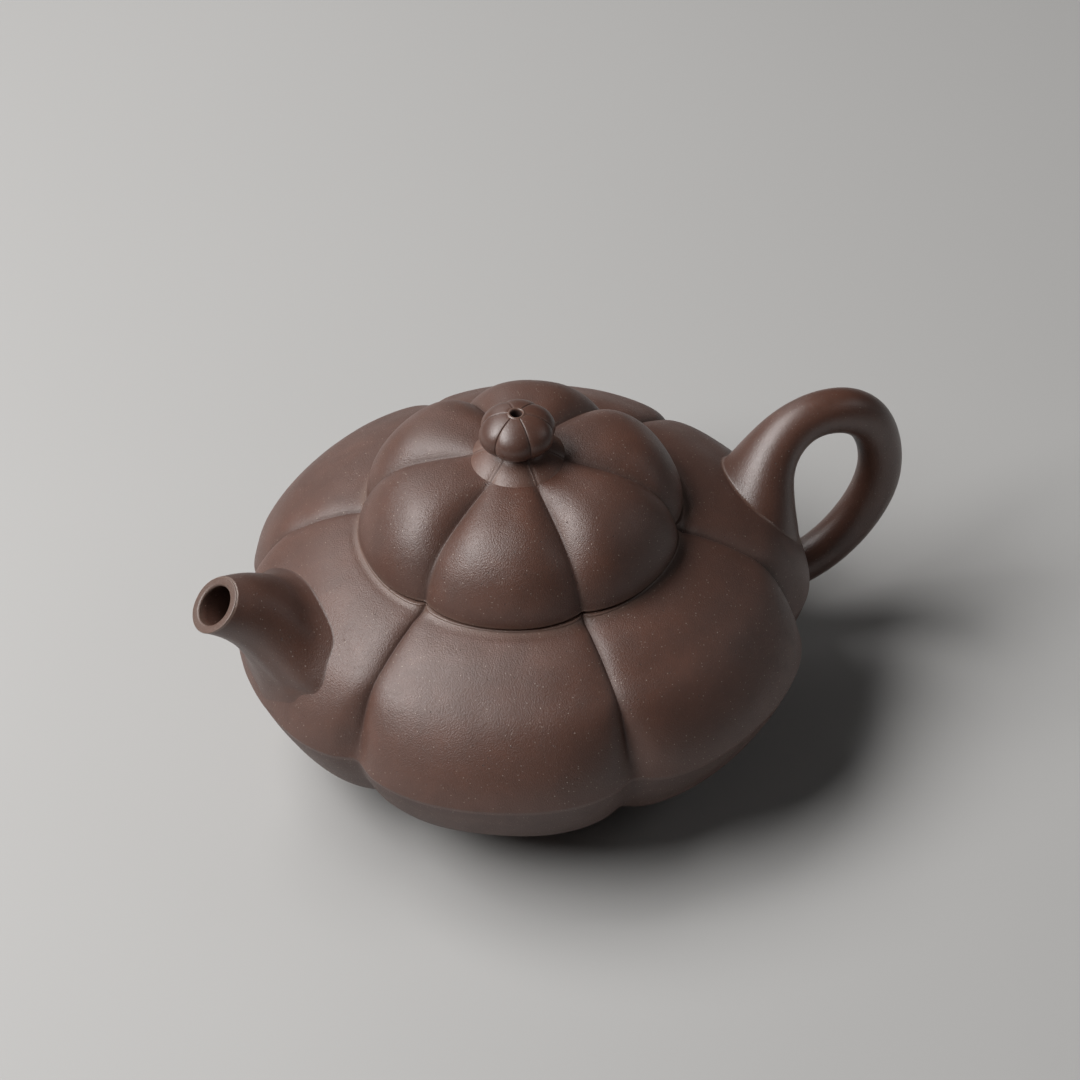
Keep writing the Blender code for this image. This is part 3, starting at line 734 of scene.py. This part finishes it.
# ---------------------------------------------------------------------- handle
def handle_piece():
    n, count = 80, 260
    q = spline(HANDLE, np.linspace(0, 1, count))
    d = np.gradient(q[:, :2], axis=0)
    d /= np.linalg.norm(d, axis=1)[:, None]
    turn = np.linspace(0, 2 * math.pi, n, endpoint=False)
    rings, centres = [], []
    for i in range(count):
        nrm = np.array([-d[i, 1], 0, d[i, 0]])
        c = np.array([q[i, 0], q[i, 4], q[i, 1]])
        p = c + q[i, 2] * np.cos(turn)[:, None] * nrm + q[i, 3] * np.sin(turn)[:, None] * np.array([0, 1, 0])
        rings.append(p * W + (AXIS_X, 0, EDGE_Z))
        centres.append(c * W + (AXIS_X, 0, EDGE_Z))
    rings, centres = np.array(rings), np.array(centres)
    mid = count // 2
    f_up = 0.0005 + 0.0010 * smooth01((np.abs((np.degrees(turn) + 180) % 360 - 180) - 90) / 70)
    first = rooted(rings[:mid + 1][::-1], centres[:mid + 1][::-1], f_up, rows_out=120, fillet_rows=9)
    second = rooted(rings[mid:], centres[mid:], np.full(n, 0.0016), rows_out=120, fillet_rows=9)
    loop = np.concatenate([first[::-1], second[1:]])
    calm_ = np.ones(len(loop))
    calm_[:3] = calm_[-3:] = 0
    loop = uneven(loop, 0.011, 0.00016, calm_[:, None])
    wear_and_highlight = np.zeros((len(loop), n))
    # Painted highlight: a pale band along the fillet of the upper root.
    wear_and_highlight[2:11] = 0.55 * (1 - smooth01(np.abs(np.arange(9) - 4) / 5))[:, None]
    return skin("handle_loop", loop, False, wear_and_highlight)


handle = handle_piece()


# ------------------------------------------------------- mouth, floor and foot
def mouth_ring():
    gi = pushed(up(spline(SHOULDER_GROOVE, np.linspace(0, 1, 22))), -WALL + 0.0006)
    ci = pushed(up(spline(SHOULDER_CREST, np.linspace(0, 1, 22))), -WALL + 0.0006)
    out = lobed(gi[:1], ci[:1], 2.4, 0.12)[0]
    top = out.copy()
    top[:, 2] = SEAT_Z - 0.00002
    low = out.copy()
    low[:, 2] = SEAT_Z - 0.0030
    rows_ = [low, top, circle(BORE_R + 0.0009, SEAT_Z - 0.00002)]
    for a in np.linspace(0, math.pi / 2, 7):
        rows_.append(circle(BORE_R + 0.0005 * (1 - math.sin(a)), SEAT_Z - 0.00002 - 0.0005 * (1 - math.cos(a))))
    for z in np.linspace(0.0010, 0.0026, 5):
        rows_.append(circle(BORE_R + 0.00003 * math.sin(z * 4000), SEAT_Z - z))
    for a in np.linspace(0, math.pi / 2, 6):
        rows_.append(circle(BORE_R + 0.0005 * (1 - math.cos(a)), SEAT_Z - 0.0026 - 0.0004 * math.sin(a)))
    wear_and_highlight = np.zeros((len(rows_), len(TH)))
    wear_and_highlight[2:9] = 0.6
    return skin("mouth_ring", rows_, True, wear_and_highlight)


def lathe(name, profile, wear_and_highlight=None, count=192, tool=0.0):
    """Turned ring from a closed profile of (radius, height); tool adds faint turning lines."""
    th = np.linspace(0, 2 * math.pi, count, endpoint=False)
    rings = []
    for i, (r, z) in enumerate(profile):
        wob = 1 + 0.0006 * np.sin(2 * th + 0.7) + 0.0004 * np.sin(5 * th + i)
        rings.append(np.stack([r * wob * np.cos(th) + AXIS_X, r * wob * np.sin(th),
                               z + tool * np.sin(9 * th + i) * 0.5 + 0 * th], -1))
    w = None if wear_and_highlight is None else np.repeat(np.asarray(wear_and_highlight)[:, None], count, 1)
    return skin(name, rings, True, w)


def through(points, each=5):
    """Closed polygon with every corner slightly rounded, as a dense profile."""
    out = []
    m = len(points)
    for i in range(m):
        a, b, c = np.array(points[i - 1][:2]), np.array(points[i][:2]), np.array(points[(i + 1) % m][:2])
        r = points[i][2] if len(points[i]) > 2 else 0.0
        if r:
            out += list(round_corner(a, b, c, r, each + 1))
        else:
            out.append(b)
    return out


foot_profile = through([
    (FOOT_OUT - 0.0040, 0.0, 0.0006), (FOOT_OUT - 0.0040 - 0.0002, FLOOR_Z + 0.0004, 0.0002),
    (FLOOR_R + 0.0006, FLOOR_Z + 0.0009), (FOOT_OUT + 0.0014, FLOOR_Z + 0.00055, 0.0003),
    (FOOT_OUT + 0.0001, 0.0014, 0.0007), (FOOT_OUT - 0.0003, 0.0, 0.0007)])
foot = lathe("foot", foot_profile)


def floor_disc():
    """Slightly domed floor with faint turning lines on both faces."""
    th = np.linspace(0, 2 * math.pi, 160, endpoint=False)
    rings = []
    R = FLOOR_R + 0.0004
    for r in np.linspace(0.0004, R, 60):
        rings.append((r, FLOOR_Z + 0.0003 * (1 - (r / R) ** 2) + 0.000025 * math.sin(r * 9000)))
    for r in np.linspace(R, 0.0004, 60):
        rings.append((r, FLOOR_Z + WALL - 0.0002 * (1 - (r / R) ** 2) + 0.00003 * math.sin(r * 5200 + 1)))
    stack = [np.stack([r * np.cos(th) + AXIS_X, r * np.sin(th), z + 0 * th], -1) for r, z in rings]
    return skin("floor_disc", stack, False)


floor_piece = floor_disc()
mouth = mouth_ring()


# ------------------------------------------------------------------- strainer
def ball(name, radius, centre, n=56, rows_=36):
    th = np.linspace(0, 2 * math.pi, n, endpoint=False)
    rings = [np.stack([radius * math.cos(p) * np.cos(th), radius * math.cos(p) * np.sin(th),
                       radius * math.sin(p) + 0 * th], -1) + centre
             for p in np.linspace(-math.pi / 2 + 0.06, math.pi / 2 - 0.06, rows_)]
    return skin(name, rings, False)


def rod(name, radius, length, middle, direction, n=18):
    d = Vector(direction).normalized()
    turn = Vector((0, 0, 1)).rotation_difference(d).to_matrix()
    th = np.linspace(0, 2 * math.pi, n, endpoint=False)
    rings = []
    for z in (-length / 2, 0, length / 2):
        rings.append(np.array([np.array(turn @ Vector((radius * math.cos(t), radius * math.sin(t), z))) + middle for t in th]))
    return skin(name, rings, False)


root_at = np.array([SPOUT[-2][0] * W + AXIS_X, 0, SPOUT[-2][1] * W + EDGE_Z])
lean = math.radians(90 - SPOUT[-2][2])
along = np.array([-math.sin(lean), 0, math.cos(lean)])
hole = rod("tool_hole", 0.0058, 0.016, root_at, along, 48)
carve(upper, hole, "DIFFERENCE")
dome_at = root_at - along * 0.0020
strainer = ball("strainer_dome", 0.0088, dome_at)
core = ball("tool_core", 0.0088 - 0.0017, dome_at)
carve(strainer, core, "DIFFERENCE")
t_in = np.linspace(0, 1, 30)
gh = pushed(up(spline(SHOULDER_GROOVE, t_in)), -WALL + 0.0004)
ch = pushed(up(spline(SHOULDER_CREST, t_in)), -WALL + 0.0004)
hollow = skin("tool_hollow", lobed(gh, ch, 2.4, 0.12), False)
carve(strainer, hollow, "INTERSECT")
inward, side_ = -along, np.array([0, 1.0, 0])
other = np.cross(inward, side_)
tools = [hole, core, hollow]
for count, tilt in ((1, 0), (6, 28), (10, 53)):
    for k in range(count):
        a, t = 2 * math.pi * k / count, math.radians(tilt)
        d = inward * math.cos(t) + (side_ * math.cos(a) + other * math.sin(a)) * math.sin(t)
        tools.append(rod(f"tool_drill_{tilt}_{k}", 0.00075, 0.0036, dome_at + d * (0.0088 - 0.00085), d))
        carve(strainer, tools[-1], "DIFFERENCE")
for tool in tools:
    bpy.data.objects.remove(tool, do_unlink=True)


# ------------------------------------------------------------------------- lid
def lid_piece():
    t = shares(86, start=0.6, end=0.35)
    g, c = up(spline(LID_GROOVE, t)), up(spline(LID_CREST, t))
    g[0, 1] = c[0, 1] = LID_LOW
    g[:, 1] += (LID_LOW - SEAT_Z) * (1 - t) ** 3
    c[:, 1] += (LID_LOW - SEAT_Z) * (1 - t) ** 3
    g[0, 1] = c[0, 1] = LID_LOW
    soft = 0.030 - 0.012 * smooth01(t / 0.5)
    nick = 0.00006 * smooth01((t - 0.04) / 0.15)
    rings = lobed(g, c, 3.1, soft, nick)
    calm_ = smooth01(np.arange(len(t)) / 8)
    rings = uneven(rings, 0.013, 0.00020, calm_[:, None])
    rings = uneven(rings, 0.0045, 0.00004, calm_[:, None])
    across_ = (1 - np.abs(U))[None, :] * math.pi / LOBES * g[:, :1]
    # Painted shade along the grooves.
    painted_shade = np.exp(-(across_ / 0.0008) ** 2)
    # The lower rim is worn; the pale lines beside the grooves are painted highlights.
    wear_and_highlight = 0.5 * np.exp(-(np.arange(len(t)) / 4.0) ** 2)[:, None] + 0.22 * np.exp(-((across_ - 0.00060) / 0.00024) ** 2)
    # Rounded lower rim.
    low = rings[0].copy()
    axis = np.array([AXIS_X, 0, 0])
    d = (low - axis) * (-1, -1, 0)
    d /= np.linalg.norm(d, axis=1)[:, None]
    rr = 0.00045
    rim = [low + d * rr * (1 - math.sin(a)) + np.array([0, 0, rr * (1 - math.cos(a))]) for a in np.linspace(0, math.pi / 2, 7)]
    keep = rings[:, :, 2].mean(1) > LID_LOW + rr * 1.05
    outer = np.concatenate([np.array(rim), rings[keep]])
    crown = circle(0.150 * W, g[-1, 1])
    ceiling = up(spline(LID_INSIDE, np.linspace(0, 1, 24)))
    inside = [circle(VENT_R, crown[0, 2]), circle(VENT_R, ceiling[-1, 1] + 0.0003), circle(VENT_R + 0.0004, ceiling[-1, 1])]
    inside += [circle(r, z) for r, z in ceiling[::-1]]
    inside += [circle(FLANGE_R + 0.00025, ceiling[0, 1] - 0.0010), circle(FLANGE_R + 0.0001, LID_LOW + 0.0003),
               circle(FLANGE_R + 0.0004, LID_LOW)]
    loop = np.concatenate([outer, [crown], np.array(inside)])
    w = np.concatenate([np.full((len(rim), len(TH)), 0.6), np.broadcast_to(wear_and_highlight, (len(t), len(TH)))[keep],
                        np.zeros((len(inside) + 1, len(TH)))])
    f = np.concatenate([np.zeros((len(rim), len(TH))), np.broadcast_to(painted_shade, (len(t), len(TH)))[keep],
                        np.zeros((len(inside) + 1, len(TH)))])
    return skin("lid", loop, True, w, f)


lid = lid_piece()

flange_in = FLANGE_R - 0.0025
collar_profile = through([
    (flange_in, FLANGE_TOP, 0.0003), (FLANGE_R, FLANGE_TOP, 0.0003), (FLANGE_R, (FLANGE_TOP + FLANGE_LOW) / 2),
    (FLANGE_R - 0.0001, FLANGE_LOW, 0.0008), (flange_in + 0.0002, FLANGE_LOW, 0.0008),
    (flange_in, (FLANGE_TOP + FLANGE_LOW) / 2)])
collar = lathe("lid_collar_ring", collar_profile)


def neck_piece():
    th, u = TH, U
    t = np.linspace(0, 1, 34)
    g, c = up(spline(NECK_GROOVE, t)), up(spline(NECK_CREST, t))
    rings = lobed(g, c, 2.6, 0.05, 0.00012)
    foot_ = circle(0.150 * W, EDGE_Z + 0.7105 * W)
    rings = np.concatenate([[foot_], rings, [circle(0.055 * W, rings[-1, :, 2].max() + 0.0001), circle(VENT_R, rings[-1, :, 2].max() + 0.0001),
                                    circle(VENT_R, EDGE_Z + 0.7105 * W)]])
    across_ = (1 - np.abs(U))[None, :] * math.pi / LOBES * np.concatenate([g[:1, 0], g[:, 0], [0.003, 0.0012, 0.0012]])[:, None]
    # Painted shade along the grooves.
    painted_shade = np.exp(-(across_ / 0.00028) ** 2)
    # Painted highlight: pale lines beside the grooves.
    wear_and_highlight = 0.3 * np.exp(-((across_ - 0.00055) / 0.00028) ** 2)
    wear_and_highlight[:4] += 0.10
    wear_and_highlight[-3:] = 0
    painted_shade[-3:] = 0
    return skin("lid_neck", rings, True, wear_and_highlight, painted_shade)


neck = neck_piece()


def knob_piece():
    low = NECK_TOP
    mid, tall, wide = EDGE_Z + KNOB_Z * W, KNOB_HALF * W, KNOB_R * W
    start = math.asin((low - mid) / tall)
    rings, painted_shades, wears_and_highlights = [], [], []
    for p in np.linspace(start - 0.12, math.radians(77), 70):
        r = wide * math.cos(p) ** (0.9 if p > 0 else 1.25)
        flute = KNOB_FLUTE * math.cos(p) ** 0.5 * (1 - swell(U, 2.2, 0.10))
        across_ = (1 - np.abs(U)) * math.pi / LOBES * r
        fade = smooth01((p - math.radians(-38)) / 0.3)
        cut = 0.00013 * fade * np.exp(-(across_ / 0.00010) ** 2)
        q = r * (1 - flute) - cut * math.cos(p)
        z = mid + tall * math.sin(p) - cut * math.sin(p)
        rings.append(np.stack([q * np.cos(TH) + AXIS_X, q * np.sin(TH), z + 0 * q], -1))
        # Painted shade along the incised lines.
        painted_shades.append(fade * np.exp(-(across_ / 0.00015) ** 2))
        # Painted highlight: a pale line beside each incised line.
        wears_and_highlights.append(0.20 * fade * np.exp(-((across_ - 0.00036) / 0.00016) ** 2))
    rings = np.array(rings)
    rings[:, :, :] = uneven(rings, 0.004, 0.00006)
    top = rings[-1, :, 2].mean()
    vent = [(0.00160, top + 0.00001), (0.00152, top + 0.00008), (0.00142, top + 0.00014), (0.00130, top + 0.00015),
            (0.00119, top + 0.00011), (0.00111, top + 0.00002), (VENT_R - 0.00002, top - 0.0004)]
    vent += [(VENT_R - 0.00002, z) for z in np.linspace(top - 0.0008, low, 6)]
    extra = np.array([circle(r, z) for r, z in vent])
    loop = np.concatenate([rings, extra])
    wear_and_highlight = np.concatenate([np.array(wears_and_highlights), np.full((6, len(TH)), 0.5), np.zeros((len(extra) - 6, len(TH)))])
    # The vent's bore is painted dark, a painted shadow inside the hole.
    painted_shade = np.concatenate([np.array(painted_shades), np.zeros((6, len(TH))), np.full((len(extra) - 6, len(TH)), 2.3)])
    return skin("lid_knob", loop, True, wear_and_highlight, painted_shade)


knob = knob_piece()

# ------------------------------------------------------- onto the CAD's bodies
piece(upper, "pot", "body_upper_shell", M_BODY)
piece(lower, "pot", "body_lower_shell", M_LOWER_PAINTED_SHADE)
piece(mouth, "pot", "mouth_rim", M_DRY)
piece(floor_piece, "pot", "base_disc", M_FOOT)
piece(foot, "pot", "foot_ring", M_FOOT)
piece(spout, "pot", "spout", M_SPOUT_PAINTED_SHADE)
piece(strainer, "pot", "ball_strainer", M_DRY)
piece(handle, "pot", "handle", M_HANDLE)
piece(collar, "lid_collar", "lid_flange", M_DRY)
piece(lid, "lid", "lid_dome", M_LID)
piece(neck, "lid", "knob_neck", M_NECK_PAINTED_LIGHT)
piece(knob, "lid", "knob", M_KNOB)

# -------------------------------------------------------------- floor and light
floor_mesh = bpy.data.meshes.new("floor")
floor_mesh.from_pydata([(-4, -4, 0), (4, -4, 0), (4, 4, 0), (-4, 4, 0)], [], [(0, 1, 2, 3)])
ground = bpy.data.objects.new("floor", floor_mesh)
bpy.context.scene.collection.objects.link(ground)
ground.location.z = -0.00002
mat, nt = tree_for("pale_floor")
n = Nodes(nt)
at = n.make("ShaderNodeTexCoord").outputs["Object"]
tone = n.mix(n.remap(n.noise(at, 3.0, 2.0), 0.3, 0.7), (0.50, 0.495, 0.487), (0.52, 0.515, 0.507))
bsdf = n.make("ShaderNodeBsdfPrincipled", {"Base Color": tone, "Roughness": 0.85, "Specular IOR Level": 0.2})
# Far from the pot the lamps no longer reach, so the floor fades to the backdrop tone.
seen = n.make("ShaderNodeLightPath").outputs["Is Camera Ray"]
away = n.make("ShaderNodeVectorMath", {"Vector": at}, operation="LENGTH").outputs["Value"]
far = n.math("MULTIPLY", n.remap(away, 0.30, 1.10, 0.0, 1.0, True), seen)
glow = n.make("ShaderNodeEmission", {"Color": (0.461, 0.458, 0.451, 1), "Strength": 1.0})
both = n.make("ShaderNodeMixShader")
nt.links.new(far, both.inputs[0])
nt.links.new(bsdf.outputs[0], both.inputs[1])
nt.links.new(glow.outputs[0], both.inputs[2])
out = n.make("ShaderNodeOutputMaterial")
nt.links.new(both.outputs[0], out.inputs["Surface"])
floor_mesh.materials.append(mat)


def softbox(name, direction, size, power, colour=(1, 1, 1), distance=0.75):
    light = bpy.data.lights.new(name, "AREA")
    light.shape = "DISK"
    light.size = size
    light.energy = power
    light.color = colour
    obj = bpy.data.objects.new(name, light)
    bpy.context.scene.collection.objects.link(obj)
    d = Vector(direction).normalized()
    obj.location = Vector((AXIS_X, 0, 0.035)) + d * distance
    obj.rotation_mode = "QUATERNION"
    obj.rotation_quaternion = d.to_track_quat("Z", "Y")
    return obj


LIGHTS = [("key", (-0.679, 0.059, 0.731), 0.52, 5.0, (1.0, 0.995, 0.99)),
          ("back_left", (-0.353, 0.452, 0.819), 0.44, 2.6, (1.0, 0.99, 0.98)),
          ("rim", (0.02, 0.92, 0.38), 0.34, 0.35, (1.0, 0.99, 0.98)),
          ("edge", (0.806, -0.262, 0.530), 0.34, 0.26, (0.98, 0.99, 1.0))]
for row in LIGHTS:
    softbox(*row)
world = bpy.data.worlds.new("studio")
bpy.context.scene.world = world
world.use_nodes = True
world.node_tree.nodes["Background"].inputs["Color"].default_value = (0.870, 0.864, 0.852, 1)
wn = Nodes(world.node_tree)
tint = wn.math("MULTIPLY", wn.make("ShaderNodeLightPath").outputs["Is Camera Ray"], 0.50)
wn.put(world.node_tree.nodes["Background"].inputs["Strength"], wn.math("ADD", tint, 0.03))

# ---------------------------------------------------------------------- camera
az, el, roll = math.radians(-21.23), math.radians(42.85), math.radians(-2.41)
back = Vector((math.sin(az) * math.cos(el), -math.cos(az) * math.cos(el), math.sin(el)))
right = (-back).cross(Vector((0, 0, 1))).normalized()
upward = right.cross(-back)
right2 = right * math.cos(roll) + upward * math.sin(roll)
up2 = -right * math.sin(roll) + upward * math.cos(roll)
camera = bpy.data.objects.new("camera", bpy.data.cameras.new("camera"))
bpy.context.scene.collection.objects.link(camera)
place = W * (15.649 * back + 0.05492 * right2 + 0.22802 * up2) + Vector((AXIS_X, 0, EDGE_Z))
camera.matrix_world = Matrix((
    (right2.x, up2.x, back.x, place.x), (right2.y, up2.y, back.y, place.y),
    (right2.z, up2.z, back.z, place.z), (0, 0, 0, 1)))
camera.data.sensor_width = 36
camera.data.lens = 142.61
camera.data.clip_start, camera.data.clip_end = 0.02, 30
bpy.context.scene.camera = camera
bpy.context.scene.view_settings.view_transform = "Standard"

bpy.context.view_layer.update()
